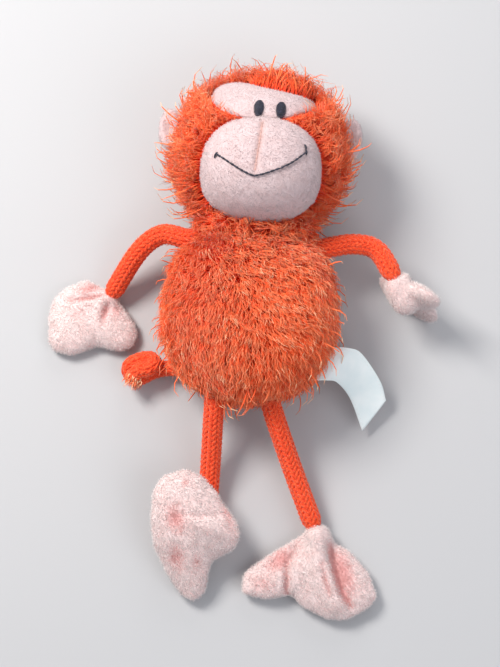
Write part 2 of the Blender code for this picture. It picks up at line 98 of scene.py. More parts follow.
RIGHT_ARM = ((-21.0, 37.6, 28.0), (-29.5, 35.5, 26.0), (-41.6, 37.6, 22.5), (-52.0, 30.1, 18.0),
             (-62.9, 13.6, 7.0), (-65.5, 10.0, 4.8))
LEFT_ARM = ((21.0, 34.0, 26.0), (30.0, 34.5, 26.0), (44.2, 37.4, 26.6), (55.0, 35.4, 27.0),
            (62.4, 25.0, 28.4), (65.0, 21.5, 27.0))
RIGHT_LEG = ((-13.2, -31.0, 25.0), (-13.3, -40.5, 22.0), (-13.5, -67.5, 9.0), (-14.0, -94.0, 5.6),
             (-14.2, -98.0, 5.2))
LEFT_LEG = ((10.5, -31.0, 24.0), (13.3, -40.5, 22.0), (24.0, -65.5, 12.5), (33.7, -87.0, 7.4),
            (35.4, -91.0, 6.6))
TAIL = ((-25.0, -20.5, 6.4), (-31.0, -20.6, 6.0), (-37.0, -21.0, 5.4), (-42.5, -22.6, 5.0),
        (-48.0, -25.6, 5.0), (-52.4, -25.0, 6.0), (-53.2, -21.4, 7.6), (-49.6, -18.8, 8.6),
        (-44.2, -17.6, 9.0), (-41.8, -20.0, 10.6), (-44.6, -22.6, 11.4), (-48.8, -23.6, 11.0),
        (-51.0, -26.6, 8.8))
TAIL_CORD = 3.8

# creases of the feet and hands: (x, y) from the ankle or wrist pivot, depth (a rise where it
# is negative), width, and how strongly shade is painted pinker into the crease
LEFT_FOOT_CREASES = (
    (((0.5, -5.0), (2.5, -14.0), (6.5, -24.0), (13.0, -35.0)), -2.4, 4.6, 0.0),
    (((8.4, -10.0), (11.0, -20.0), (15.0, -30.0), (18.7, -35.5)), 3.0, 2.2, 0.75),
    (((11.6, -14.0), (14.6, -21.0), (18.0, -29.0)), 1.5, 4.2, 0.65),
    (((5.0, -18.5), (7.0, -25.0), (9.8, -32.0)), 1.2, 1.5, 0.4),
    (((-5.7, -9.5), (-10.2, -20.0), (-10.0, -30.5), (-7.7, -35.0)), 2.4, 1.9, 0.4),
    (((-9.0, -14.0), (-17.0, -21.0)), 1.5, 4.0, 0.6),
    (((-24.0, -28.0), (-17.0, -29.5)), 0.3, 3.6, 0.3),
)
RIGHT_FOOT_CREASES = (
    (((-14.0, 7.5), (-11.5, 0.5)), 1.1, 4.0, 0.6),
    (((-12.5, -9.5), (-10.5, -16.0)), 0.9, 3.6, 0.45),
    (((-9.0, 6.5), (-2.0, 5.5), (4.5, 6.5)), 0.9, 1.6, 0.15),
    (((-7.0, 2.5), (0.0, 2.0), (6.0, 0.0)), -1.3, 4.0, 0.0),
    (((5.7, 14.5), (9.5, 7.5), (13.0, -1.0)), 0.3, 2.0, 0.3),
    (((-3.0, -12.0), (-2.4, -17.0)), 0.5, 2.8, 0.3),
    (((-11.0, 19.5), (-8.0, 20.5)), 0.2, 1.8, 0.35),
)
RIGHT_HAND_CREASES = (
    (((-3.5, -2.5), (-11.0, -4.5), (-20.0, -6.5)), 1.4, 1.5, 0.5),
    (((-2.0, -6.0), (-3.4, -11.0), (-4.0, -15.0)), 1.7, 2.0, 0.5),
    (((-8.0, 1.5), (-16.0, -1.5)), 0.3, 2.6, 0.5),
    (((2.0, -7.0), (1.0, -12.0)), 0.2, 3.0, 0.35),
    (((-12.0, -9.5), (-17.0, -13.5)), 0.3, 3.2, 0.25),
)
LEFT_HAND_AXIS = ((60.6, 22.0), (83.0, 7.5))
LEFT_HAND_SLIM = 0.55    # its upper side is this share of the CAD hand's

# embroidery on the face, seen from above
MOUTH = (((-17.8, 64.7), (-12.0, 60.6), (-6.4, 57.2), (-1.3, 55.1)),
         ((-1.3, 55.1), (3.9, 56.5), (10.5, 59.5), (15.8, 63.2), (20.3, 68.0)))
MOUTH_TICKS = (((-18.6, 62.9), (-17.4, 65.6)), ((19.5, 71.4), (20.4, 66.6)))
MUZZLE_DART = ((0.9, 80.8), (0.5, 74.0), (-0.4, 64.5), (-1.0, 57.4))
MUZZLE_STRETCH, MUZZLE_SHIFT = (1.045, 0.975), (0.0, 1.1)
EYES = {"right_eye": (-1.1, 88.4), "left_eye": (8.5, 88.4)}
EYE_WIDTH, EYE_HEIGHT, EYE_SLANT = 2.3, 4.0, 0.25
STITCH_RINGS = 7
BROW_EDGE = 98.0         # above this the band leaves the head and bridges out
BAND_MIDDLE = (0.5, 92.3)
BAND_THICK, BAND_ROUNDS, BAND_AROUND = 1.5, 12, 96
EYE_BAND = ((-22.8, 98.0), (-20.9, 103.2), (-16.5, 105.4), (-9.0, 104.9), (-3.2, 102.9),
            (2.5, 101.3), (9.7, 100.0), (16.9, 99.4), (21.9, 98.6), (23.8, 95.8), (21.8, 91.6),
            (16.9, 88.5), (12.0, 85.6), (4.0, 84.0), (-6.0, 84.0), (-13.0, 85.6), (-17.8, 88.6),
            (-21.2, 93.0))

# care label: its two long edges
LABEL_OUTER = ((36.6, -9.9, 25.5), (45.5, -9.8, 25.0), (51.5, -11.6, 21.0), (60.6, -21.9, 13.0),
               (64.0, -29.9, 8.0))
LABEL_INNER = ((29.0, -25.6, 25.5), (36.0, -25.0, 25.2), (41.0, -25.3, 22.0), (47.5, -31.0, 13.5),
               (54.1, -44.1, 5.0))
LABEL_HALF, LABEL_COLUMNS = 0.12, 25
HEM_ROWS, HEM_RADII = (0.07, 0.93), np.array((0.04, 0.1, 0.1, 0.04))


# ---- materials

def linear(red, green, blue):
    """A screen colour, 0 to 255, as the shader's linear one."""
    values = [value / 255 for value in (red, green, blue)]
    return (*[v / 12.92 if v < 0.04045 else ((v + 0.055) / 1.055) ** 2.4 for v in values], 1.0)


def shader(name, colour, roughness, sheen=0.0, specular=0.3):
    """A material with one Principled shader: its node tree, the shader and the material."""
    made = bpy.data.materials.new(name)
    made.use_nodes = True
    tree = made.node_tree
    surface = tree.nodes["Principled BSDF"]
    surface.inputs["Base Color"].default_value = colour
    surface.inputs["Roughness"].default_value = roughness
    surface.inputs["Specular IOR Level"].default_value = specular
    surface.inputs["Sheen Weight"].default_value = sheen
    surface.inputs["Sheen Roughness"].default_value = 0.4
    return tree, surface, made


def noise(tree, scale, detail=3.0, stretch=(1.0, 1.0, 1.0)):
    """Noise that is fixed to the object, in cycles a metre."""
    place = tree.nodes.new("ShaderNodeTexCoord")
    mapping = tree.nodes.new("ShaderNodeMapping")
    mapping.inputs["Scale"].default_value = stretch
    cloud = tree.nodes.new("ShaderNodeTexNoise")
    cloud.inputs["Scale"].default_value = scale
    cloud.inputs["Detail"].default_value = detail
    tree.links.new(place.outputs["Object"], mapping.inputs["Vector"])
    tree.links.new(mapping.outputs["Vector"], cloud.inputs["Vector"])
    return cloud.outputs["Fac"]


def ramp(tree, value, stops):
    """Colours along a value."""
    node = tree.nodes.new("ShaderNodeValToRGB")
    tree.links.new(value, node.inputs["Fac"])
    for index, (place, colour) in enumerate(stops):
        stop = node.color_ramp.elements[index] if index < 2 else node.color_ramp.elements.new(place)
        stop.position = place
        stop.color = colour
    return node.outputs["Color"]


def bump(tree, surface, value, depth, strength):
    """Raises the shaded surface by a value; depth is in millimetres."""
    node = tree.nodes.new("ShaderNodeBump")
    node.inputs["Distance"].default_value = depth * MM
    node.inputs["Strength"].default_value = strength
    tree.links.new(value, node.inputs["Height"])
    tree.links.new(node.outputs["Normal"], surface.inputs["Normal"])


def mix(tree, share, first, second):
    """Two colours mixed, each a tuple or another node's output."""
    node = tree.nodes.new("ShaderNodeMix")
    node.data_type = "RGBA"
    tree.links.new(share, node.inputs["Factor"])
    first_colour, second_colour, result = node.inputs[6], node.inputs[7], node.outputs[2]
    for socket, colour in ((first_colour, first), (second_colour, second)):
        if isinstance(colour, tuple):
            socket.default_value = colour
        else:
            tree.links.new(colour, socket)
    return result


def napped(name, pale, deep, crease_shade):
    """Short-pile cloth: blotchy nap, with shade painted pinker into its creases."""
    tree, surface, made = shader(name, pale, 0.85, 0.35, 0.15)
    blotch = ramp(tree, noise(tree, 260.0, 4.0), ((0.35, deep), (0.62, pale)))
    crease = tree.nodes.new("ShaderNodeAttribute")
    crease.attribute_name = "crease_shade"
    # the third colour is painted crease shade, mixed in by the stored crease values
    tree.links.new(mix(tree, crease.outputs["Fac"], blotch, crease_shade),
                   surface.inputs["Base Color"])
    bump(tree, surface, noise(tree, 1900.0, 2.0), 0.35, 0.7)
    return made


def plain_strand(name, colour, roughness=0.6, sheen=0.2):
    """One even colour, for fur, pile and fuzz."""
    return shader(name, colour, roughness, sheen, 0.25)[2]


def fibrous(name, colour, gloss, grain, stops, relief):
    """A material whose colour and relief follow one fine noise."""
    tree, surface, made = shader(name, colour, *gloss)
    fibres = noise(tree, *grain)
    tree.links.new(ramp(tree, fibres, stops), surface.inputs["Base Color"])
    bump(tree, surface, fibres, *relief)
    return made


def yarn_material():
    """Orange-red yarn with plied fibres, with shade painted darker into the hollows of its relief."""
    stops = ((0.3, linear(218, 54, 24)), (0.55, linear(243, 86, 44)), (0.75, linear(252, 126, 82)))
    return fibrous("yarn", linear(242, 86, 44), (0.75, 0.3, 0.2), (1500.0, 3.0), stops, (0.3, 0.6))


def backing_material():
    """The knitted backing that the fur grows from."""
    stops = ((0.35, linear(224, 54, 22)), (0.65, linear(246, 82, 36)))
    return fibrous("fur_backing", linear(228, 58, 24), (0.9, 0.1, 0.1), (700.0, 4.0), stops,
                   (0.8, 0.9))


def thread_material(name, dark, light):
    """Embroidery thread with fine fibres."""
    return fibrous(name, dark, (0.45, 0.2, 0.4), (2600.0, 2.0, (1.0, 0.35, 1.0)),
                   ((0.4, dark), (0.75, light)), (0.15, 0.6))


def satin_material():
    """White woven satin: fine crosswise ribs and a slight cool tint."""
    tree, surface, made = shader("satin", linear(228, 240, 240), 0.42, 0.15, 0.45)
    place = tree.nodes.new("ShaderNodeTexCoord")
    ribs = tree.nodes.new("ShaderNodeTexWave")
    ribs.inputs["Scale"].default_value = 900.0
    ribs.inputs["Distortion"].default_value = 0.6
    tree.links.new(place.outputs["Object"], ribs.inputs["Vector"])
    tint = ramp(tree, noise(tree, 90.0, 2.0), ((0.3, linear(226, 238, 239)),
                                               (0.7, linear(244, 249, 248))))
    tree.links.new(tint, surface.inputs["Base Color"])
    bump(tree, surface, ribs.outputs["Fac"], 0.06, 0.5)
    return made


# fur colours: the first is shade painted at the base of the strands, tip and peach are painted
# highlight used on their ends, mid and bright differ at random
FUR = [plain_strand("fur_" + name, linear(*colour))
       for name, colour in (("root_shade", (248, 76, 32)), ("mid", (255, 98, 48)),
                            ("bright", (255, 120, 68)), ("tip", (255, 146, 100)),
                            ("peach", (255, 200, 158)))]
BACKING = backing_material()
YARN_CLOTH = yarn_material()
# a dark colour for the inside of the cord: painted shade that shows between the loops
YARN_SHADE_CORE = shader("yarn_shade_core", linear(150, 20, 10), 0.9)[2]
YARN_FUZZ = plain_strand("yarn_fuzz", linear(255, 150, 108))
# the last colour of plush and velour is the shade painted into their creases
PLUSH = napped("plush", linear(238, 217, 215), linear(232, 202, 199), linear(216, 132, 129))
VELOUR = napped("velour", linear(213, 192, 193), linear(206, 182, 182), linear(194, 143, 131))
# the second pile colour is shade painted onto the pile in the creases
PILE = [plain_strand("pile_pale", linear(248, 233, 231), 0.8, 0.4),
        plain_strand("pile_crease_shade", linear(224, 164, 159), 0.8, 0.4)]
NAP = [plain_strand("nap_pale", linear(214, 196, 197), 0.8, 0.4),
       plain_strand("nap_crease_shade", linear(208, 170, 163), 0.8, 0.4)]
BLACK_THREAD = thread_material("black_thread", linear(16, 16, 26), linear(66, 66, 88))
PINK_THREAD = thread_material("pink_thread", linear(206, 158, 146), linear(226, 190, 180))
WHITE_THREAD = thread_material("white_thread", linear(226, 226, 224), linear(250, 250, 248))
SATIN = satin_material()


# ---- meshes

def add_object(name, data):
    """A new object in the scene, with a mesh, a camera or a light in it."""
    made = bpy.data.objects.new(name, data)
    bpy.context.scene.collection.objects.link(made)
    return made


def object_from(shape, name):
    """Turns a bmesh into an object."""
    mesh = bpy.data.meshes.new(name)
    shape.to_mesh(mesh)
    shape.free()
    return add_object(name, mesh)


def tree_of(thing):
    """Search tree over the faces of an object."""
    return BVHTree.FromObject(thing, bpy.context.evaluated_depsgraph_get())


def smooth_path(points, per_span):
    """Catmull-Rom curve through an open list of points, in metres."""
    points = np.array(points, float) * MM
    ends = np.vstack((2 * points[0] - points[1], points, 2 * points[-1] - points[-2]))
    result = []
    for a, b, c, d in zip(ends, ends[1:], ends[2:], ends[3:]):
        for t in np.arange(per_span) / per_span:
            result.append(0.5 * (2 * b + (c - a) * t + (2 * a - 5 * b + 4 * c - d) * t**2
                                 + (3 * b - a - 3 * c + d) * t**3))
    return np.array(result + [points[-1]])


def unit(vectors):
    """The vectors brought to length one."""
    return vectors / np.maximum(np.linalg.norm(vectors, axis=-1, keepdims=True), 1e-12)


def vertex_values(thing, kind):
    """One vector for each point of a mesh: its place, "co", or its "normal"."""
    values = np.zeros(len(thing.data.vertices) * 3, np.float32)
    thing.data.vertices.foreach_get(kind, values)
    return values.reshape(-1, 3).astype(float)


def corners_of(thing):
    """The points of a mesh, in metres."""
    return vertex_values(thing, "co")


def normals_of(thing):
    """The normals at the points of a mesh."""
    return vertex_values(thing, "normal")


def set_corners(thing, places):
    """Moves the points of a mesh to new places."""
    thing.data.vertices.foreach_set("co", places.astype(np.float32).ravel())
    thing.data.update()


def lift_off_floor(places, gap=FLOOR_GAP):
    """Raises the places that lie lower than a gap above the floor."""
    places[..., 2] = np.maximum(places[..., 2], gap * MM)


def shade_smooth(thing):
    """Rounds the shading of every face."""
    thing.data.polygons.foreach_set("use_smooth", np.ones(len(thing.data.polygons), bool))


def cover(thing, material):
    """Gives a whole mesh one material."""
    thing.data.materials.clear()
    thing.data.materials.append(material)


class Shape:
    """Points and faces with their material numbers, collected piece by piece."""

    def __init__(self):
        self.points, self.faces, self.marks = [], {3: [], 4: []}, {3: [], 4: []}
        self.count = 0

    def add(self, points, faces, marks):
        """faces is an (n, 3) or (n, 4) array of point numbers, marks n material numbers."""
        self.faces[faces.shape[1]].append(faces + self.count)
        self.marks[faces.shape[1]].append(marks)
        if points is not None:
            self.points.append(points)

    def close(self, count):
        """Ends a piece of so many points; the next piece's faces number on from there."""
        self.count += count

    def make(self, name, materials):
        """An object with everything that was collected."""
        mesh = bpy.data.meshes.new(name)
        points = np.vstack(self.points).astype(np.float32)
        mesh.vertices.add(len(points))
        mesh.vertices.foreach_set("co", points.ravel())
        groups = [(size, np.vstack(self.faces[size]), np.concatenate(self.marks[size]))
                  for size in (3, 4) if self.faces[size]]
        loops = np.concatenate([faces.ravel() for _, faces, _ in groups]).astype(np.int32)
        sizes = np.concatenate([np.full(len(faces), size) for size, faces, _ in groups])
        starts = np.concatenate(([0], np.cumsum(sizes)[:-1])).astype(np.int32)
        mesh.loops.add(len(loops))
        mesh.loops.foreach_set("vertex_index", loops)
        mesh.polygons.add(len(starts))
        mesh.polygons.foreach_set("loop_start", starts)
        for material in materials:
            mesh.materials.append(material)
        marks = np.concatenate([marks for _, _, marks in groups]).astype(np.int32)
        mesh.polygons.foreach_set("material_index", marks)
        mesh.polygons.foreach_set("use_smooth", np.ones(len(starts), bool))
        mesh.update(calc_edges=True)
        return add_object(name, mesh)

    def tubes(self, centres, radii, ups, sides, marks):
        """Closed tubes: centres and ups are (tubes, rings, 3), radii and marks (tubes, rings)."""
        count, rings = centres.shape[:2]
        along = unit(np.gradient(centres, axis=1))
        across = unit(np.cross(along, ups))
        lift = np.cross(across, along)
        turns = 2 * pi * np.arange(sides) / sides
        points = (centres[:, :, None] + radii[:, :, None, None]
                  * (across[:, :, None] * np.cos(turns)[:, None]
                     + lift[:, :, None] * np.sin(turns)[:, None]))
        number = np.arange(count * rings * sides).reshape(count, rings, sides)
        after = np.roll(number, -1, axis=2)
        walls = np.stack((number[:, :-1], number[:, 1:], after[:, 1:], after[:, :-1]), -1)
        wall_marks = np.repeat(marks[:, :-1, None], sides, 2)
        self.add(points.reshape(-1, 3), walls.reshape(-1, 4), wall_marks.ravel())
        fan = np.arange(1, sides - 1)
        for ring, order in ((0, (0, 2, 1)), (-1, (0, 1, 2))):
            cap = np.stack((np.broadcast_to(number[:, ring, :1], (count, sides - 2)),
                            number[:, ring, fan], number[:, ring, fan + 1]), -1)
            self.add(None, cap[..., order].reshape(-1, 3), np.repeat(marks[:, ring], sides - 2))
        self.close(count * rings * sides)

    def tube(self, line, radii, ups, sides, mark=0):
        """One closed tube of one material."""
        self.tubes(line[None], radii[None], ups[None], sides, np.full((1, len(line)), mark))

    def spikes(self, places, tips, widths, marks):
        """Closed three-sided spikes from places to tips."""
        count = len(places)
        along = unit(tips - places)
        across = unit(np.cross(along, np.roll(along, 1, axis=1) + 0.01))
        lift = np.cross(along, across)
        turns = 2 * pi * np.arange(3) / 3
        base = (places[:, None] + widths[:, None, None]
                * (across[:, None] * np.cos(turns)[:, None] + lift[:, None] * np.sin(turns)[:, None]))
        points = np.concatenate((base, tips[:, None]), 1)
        first = 4 * np.arange(count)[:, None]
        faces = np.concatenate([first + np.array(face)
                                for face in ((0, 1, 3), (1, 2, 3), (2, 0, 3), (0, 2, 1))])
        self.add(points.reshape(-1, 3), faces, np.tile(marks, 4))
        self.close(4 * count)


def scatter(thing, density, rng):
    """Random places on a mesh, so many to a square millimetre, with normals and corners."""
    thing.data.calc_loop_triangles()
    corners = np.zeros(len(thing.data.loop_triangles) * 3, np.int32)
    thing.data.loop_triangles.foreach_get("vertices", corners)
    corners = corners.reshape(-1, 3)
    places, normals = corners_of(thing), normals_of(thing)
    a, b, c = (places[corners[:, index]] for index in range(3))
    areas = np.linalg.norm(np.cross(b - a, c - a), axis=1) / 2
    count = int(areas.sum() / MM**2 * density)
    chosen = rng.choice(len(corners), count, p=areas / areas.sum())
    shares = rng.dirichlet((1.0, 1.0, 1.0), count)[..., None]
    found = (places[corners[chosen]] * shares).sum(1)
    return found, unit((normals[corners[chosen]] * shares).sum(1)), corners[chosen]


# ---- padded forms

def ball_directions(count):
    """Directions spread evenly over a sphere."""
    index = np.arange(count) + 0.5
    height = 1 - 2 * index / count
    turn = pi * (1 + 5**0.5) * index
    flat = np.sqrt(1 - height**2)
    return np.stack((flat * np.cos(turn), flat * np.sin(turn), height), 1)


def node_faces(nodes):
    """Corner points and faces of several CAD nodes, as lists, the first node's first."""
    points, faces = [], []
    for node in nodes:
        mesh = frame["nodes"][node].data
        first = len(points)
        points += [tuple(vertex.co) for vertex in mesh.vertices]
        faces += [[first + corner for corner in face.vertices] for face in mesh.polygons]
    return points, faces


def open_faces(points, faces, tree):
    """The faces that look out on open air, past everything in the search tree."""
    ways = [Vector(way) for way in ball_directions(SKY_DIRECTIONS)]
    found = []
    for face in faces:
        a, b, c = (Vector(points[corner]) for corner in face[:3])
        normal = (b - a).cross(c - a).normalized()
        start = (a + b + c) / 3 + normal * 0.02 * MM
        ahead = [way for way in ways if normal.dot(way) > 0.15]
        free = sum(tree.ray_cast(start, way)[0] is None for way in ahead)
        if free > OPEN_SHARE * len(ahead):
            found.append(face)
    return found


def outer_skin(name, nodes, blockers=()):
    """A closed mesh of the outer faces of some CAD nodes; blockers are other nodes in the way."""
    points, faces = node_faces(nodes)
    tree = BVHTree.FromPolygons(*node_faces((*nodes, *blockers)))
    shape = bmesh.new()
    corners = [shape.verts.new(point) for point in points]
    for face in open_faces(points, faces, tree):
        shape.faces.new([corners[corner] for corner in face])
    bmesh.ops.delete(shape, geom=[v for v in shape.verts if not v.link_faces], context="VERTS")
    bmesh.ops.remove_doubles(shape, verts=shape.verts, dist=0.45 * MM)
    bmesh.ops.holes_fill(shape, edges=shape.edges, sides=0)
    bmesh.ops.recalc_face_normals(shape, faces=shape.faces)
    return object_from(shape, name)


def soften(thing, rounds):
    """Rounds of smoothing, after which the modifiers are turned into the mesh."""
    smoother = thing.modifiers.new("soften", "SMOOTH")
    smoother.factor = 0.5
    smoother.iterations = rounds
    evaluated = thing.evaluated_get(bpy.context.evaluated_depsgraph_get())
    mesh = bpy.data.meshes.new_from_object(evaluated)
    thing.modifiers.clear()
    thing.data = mesh


def remesh(thing, voxel, rounds=4):
    """An even mesh over the whole form, softened."""
    grid = thing.modifiers.new("grid", "REMESH")
    grid.mode = "VOXEL"
    grid.voxel_size = voxel * MM
    soften(thing, rounds)
    shade_smooth(thing)


def add_cloth(thing, held):
    """Cloth with pressure inside it, pinned at the points that are held."""
    pins = thing.vertex_groups.new(name="seam")
    pins.add([int(index) for index in np.flatnonzero(held)], 1.0, "REPLACE")
    settings = thing.modifiers.new("cloth", "CLOTH").settings
    settings.quality = SIM_QUALITY
    settings.tension_stiffness = SIM_TENSION
    settings.bending_stiffness = SIM_BENDING
    settings.use_pressure = True
    settings.uniform_pressure_force = SIM_PRESSURE
    settings.effector_weights.gravity = 0.0
    settings.vertex_group_mass = pins.name


def inflate(thing, seam, cap):
    """Fills the cloth by simulation, held along its seam; no point moves further than cap."""
    rest = corners_of(thing)
    set_corners(thing, rest * SIM_SCALE)
    add_cloth(thing, seam)
    for step in range(1, SIM_FRAMES + 1):
        bpy.context.scene.frame_set(step)
    evaluated = thing.evaluated_get(bpy.context.evaluated_depsgraph_get())
    moved = np.zeros(len(rest) * 3, np.float32)
    evaluated.data.vertices.foreach_get("co", moved)
    thing.modifiers.clear()
    thing.vertex_groups.clear()
    bpy.context.scene.frame_set(1)
    shift = moved.reshape(-1, 3) / SIM_SCALE - rest
    far = np.linalg.norm(shift, axis=1, keepdims=True)
    set_corners(thing, rest + shift * np.minimum(1.0, cap * MM / np.maximum(far, 1e-9)))


def near_nodes(places, nodes, reach):
    """Which places are within reach of every one of some CAD nodes."""
    near = np.ones(len(places), bool)
    for node in nodes:
        tree = BVHTree.FromPolygons(*node_faces([node]))
        near &= np.array([tree.find_nearest(Vector(place))[3] < reach * MM for place in places])
    return near


def subdivide(thing):
    """Doubles the mesh and softens it."""
    finer = thing.modifiers.new("finer", "SUBSURF")
    finer.levels = finer.render_levels = 1
    soften(thing, 6)


def line_distance(places, line):
    """Distance in plan from each place to a polyline in metres, and how far along it that is."""
    best, along = np.full(len(places), 1e9), np.zeros(len(places))
    for index, (a, b) in enumerate(zip(line, line[1:])):
        run = b - a
        share = np.clip(((places[:, :2] - a) @ run) / (run @ run), 0, 1)
        gap = np.linalg.norm(places[:, :2] - a - share[:, None] * run, axis=1)
        nearer = gap < best
        best = np.where(nearer, gap, best)
        along = np.where(nearer, (index + share) / (len(line) - 1), along)
    return best, along


def mark_crease_shade(thing, values):
    """Stores how much shade is painted into the creases at each point, from 0 to 1."""
    attribute = thing.data.attributes.new("crease_shade", "FLOAT", "POINT")
    attribute.data.foreach_set("value", np.clip(values, 0, 1).astype(np.float32))


def crease(thing, pivot, creases):
    """Sinks creases into the side that faces up, and marks the shade painted into them."""
    places, normals = corners_of(thing), normals_of(thing)
    upward = np.clip(normals[:, 2] * 2.0, 0, 1)
    crease_shade = np.zeros(len(places))
    sunk = np.zeros(len(places))
    for line, depth, width, pink in creases:
        path = np.array(line) * MM + np.array(pivot[:2])
        gap, along = line_distance(places, path)
        share = np.exp(-(gap / (width * MM)) ** 2) * upward * (0.55 + 0.45 * np.sin(pi * along))
        sunk += share * depth * MM
        # painted shade: the cloth and its pile turn pinker along each crease
        crease_shade = np.maximum(crease_shade, share * pink)
    places[:, 2] -= sunk
    set_corners(thing, places)
    mark_crease_shade(thing, crease_shade)


def pile(name, base, materials, density, length, width, body, seed):
    """Short pile over a cloth form: spikes that lean at random, painted pinker as shade in the
    creases.
    """
    rng = np.random.default_rng(seed)
    places, normals, corners = scatter(base, density, rng)
    crease_shade = np.zeros(len(base.data.vertices), np.float32)
    base.data.attributes["crease_shade"].data.foreach_get("value", crease_shade)
    here = crease_shade[corners].mean(1)
    lean = unit(normals * PILE_UPRIGHT + rng.normal(0, 0.42, places.shape))
    reach = length * MM * rng.uniform(0.6, 1.25, len(places)) * (1 - 0.45 * here)
    tips = places + lean * reach[:, None]
    lift_off_floor(tips)
    # spikes in a crease take the second material, painted shade
    marks = (here + rng.normal(0, 0.12, len(here)) > 0.3).astype(int)
    shape = Shape()
    shape.spikes(places - normals * 0.15 * MM, tips, np.full(len(places), width * MM), marks)
    made = shape.make(name, materials)
    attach(made, body)
    return made


def add_sleeve(thing, start, end, radius):
    """Joins a rounded tube to a form, which the voxel remesh then blends in."""
    shape = bmesh.new()
    shape.from_mesh(thing.data)
    start, end = Vector(start), Vector(end)
    for share in np.linspace(0, 1, 6):
        ball = bmesh.ops.create_icosphere(shape, subdivisions=3, radius=radius * MM)
        bmesh.ops.translate(shape, vec=start.lerp(end, share), verts=ball["verts"])
    shape.to_mesh(thing.data)
    shape.free()


def slim(thing, start, end, share):
    """Draws the side to the left of a line in plan towards the line."""
    places = corners_of(thing)
    run = unit(np.array(end) - np.array(start))
    left = np.array((-run[1], run[0]))
    gap = (places[:, :2] - np.array(start) * MM) @ left
    places[:, :2] -= np.outer(np.maximum(gap, 0) * (1 - share), left)
    set_corners(thing, places)


def cushion(name, nodes, body, material, creases, pivot, cap, sleeve=None, axis=None):
    """A stuffed cloth form in the place of some CAD nodes, with a sleeve round its cord."""
    made = outer_skin(name, nodes)
    if axis:
        slim(made, *axis, LEFT_HAND_SLIM)
    if sleeve:
        add_sleeve(made, *sleeve)
    remesh(made, VOXEL)
    inflate(made, near_nodes(corners_of(made), nodes[:2], 0.9), cap)
    subdivide(made)
    places = corners_of(made)
    lift_off_floor(places)
    set_corners(made, places)
    crease(made, pivot, creases)
    cover(made, material)
    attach(made, body)
    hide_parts(*nodes)
    return made


# ---- fur

def tangent(directions, normals):
    """Directions laid into the surface."""
    return unit(directions - normals * (directions * normals).sum(1, keepdims=True))


def face_clearance(places, face):
    """Millimetres from each place to the nearest face piece, and the way from it."""
    trees = [tree_of(piece) for piece in face]
    gaps, aways = np.zeros(len(places)), np.zeros((len(places), 3))
    for index, place in enumerate(places):
        point = Vector(place)
        near, gap = min(((hit[0], hit[3]) for hit in (tree.find_nearest(point) for tree in trees)),
                        key=lambda hit: hit[1])
        gaps[index] = 0.0 if place[2] > 32 * MM and is_covered(trees, point) else gap / MM
        aways[index] = point - near
    return gaps, aways


def is_covered(trees, point):
    """Whether a place lies inside the muzzle or band, or close under one."""
    for tree, close in zip(trees, (3.0, 5.0)):
        _, normal, _, above = tree.ray_cast(point, Vector((0, 0, 1)))
        if normal is not None and (normal.z > 0 or above < close * MM):
            return True
    return False


def head_comb(places, normals):
    """Fur on the head lies away from the middle of the face."""
    out = places - np.array((FACE_MIDDLE[0], FACE_MIDDLE[1], 0.0)) * MM
    out[:, 2] = 0.0
    return tangent(unit(out) + np.array((0.0, 0.15, 0.1)), normals)


def body_comb(places, normals):
    """Fur on the body is brushed down towards the legs in loose waves."""
    x, y = places[:, 0] / MM, places[:, 1] / MM
    sway = 0.18 + 0.35 * np.sin(x / 11.0 + y / 17.0) + x / 90.0
    down = np.stack((sway, np.full(len(x), -1.0), np.zeros(len(x))), 1)
    return tangent(down, normals)


class Coat:
    """How a coat of fur lies: the spread of its locks and strands, their lift, curl and hold."""

    def __init__(self, sway, lift, curl, hold, strands_per_lock, thick=1.0):
        self.sway, self.lift, self.curl, self.hold = sway, lift, curl, hold
        self.strands_per_lock, self.thick = strands_per_lock, thick

    def paths(self, roots, ups, along, reach, sway, rng):
        """Centre lines that rise, lie over along the comb and curl."""
        count = len(roots)
        rings = np.linspace(0.0, 1.0, STRAND_RINGS)[None, :, None]
        side = np.cross(ups, along)
        turn = (rng.normal(0, 1, count) * sway)[:, None]
        turned = unit(along * np.cos(turn) + side * np.sin(turn))
        lift = rng.uniform(*self.lift, count)[:, None, None]
        reach = reach[:, None, None]
        rise = ups[:, None] * reach * lift * np.sin(rings * pi * 0.55)
        run = turned[:, None] * reach * (0.35 * rings + 0.5 * rings**2)
        angle = rng.uniform(0, 2 * pi, count)[:, None, None] + rings * 5.5
        curl = ups[:, None] * np.cos(angle) + side[:, None] * np.sin(angle)
        return roots[:, None] + rise + run + curl * reach * self.curl * rings**0.7

    def grow(self, places, normals, comb, lengths, calm, rng):
        """Centre lines of the strands, and the lock that each belongs to. calm damps the sway."""
        count = len(places)
        leaders = rng.permutation(count)[:max(4, count // self.strands_per_lock)]
        tree = KDTree(len(leaders))
        for number, leader in enumerate(leaders):
            tree.insert(Vector(places[leader]), number)
        tree.balance()
        lock = np.array([tree.find(Vector(place))[1] for place in places])
        reach = lengths[leaders] * rng.uniform(0.8, 1.3, len(leaders))
        leading = self.paths(places[leaders], normals[leaders], comb[leaders], reach,
                             self.sway * calm[leaders], rng)
        reach = lengths * rng.uniform(0.7, 1.1, count)
        own = self.paths(places, normals, comb, reach, self.sway * 0.8 * calm, rng)
        pull = self.hold * np.linspace(0.0, 1.0, STRAND_RINGS)[None, :, None] ** 0.9
        return own + (leading[lock] - own) * pull, lock


HEAD_COAT = Coat(sway=1.25, lift=(0.5, 0.95), curl=0.27, hold=0.6, strands_per_lock=7)
BODY_COAT = Coat(sway=0.62, lift=(0.35, 0.8), curl=0.15, hold=0.42, strands_per_lock=7)
STRAY_COAT = Coat(sway=0.7, lift=(0.9, 1.2), curl=0.035, hold=0.0, strands_per_lock=4, thick=1.9)

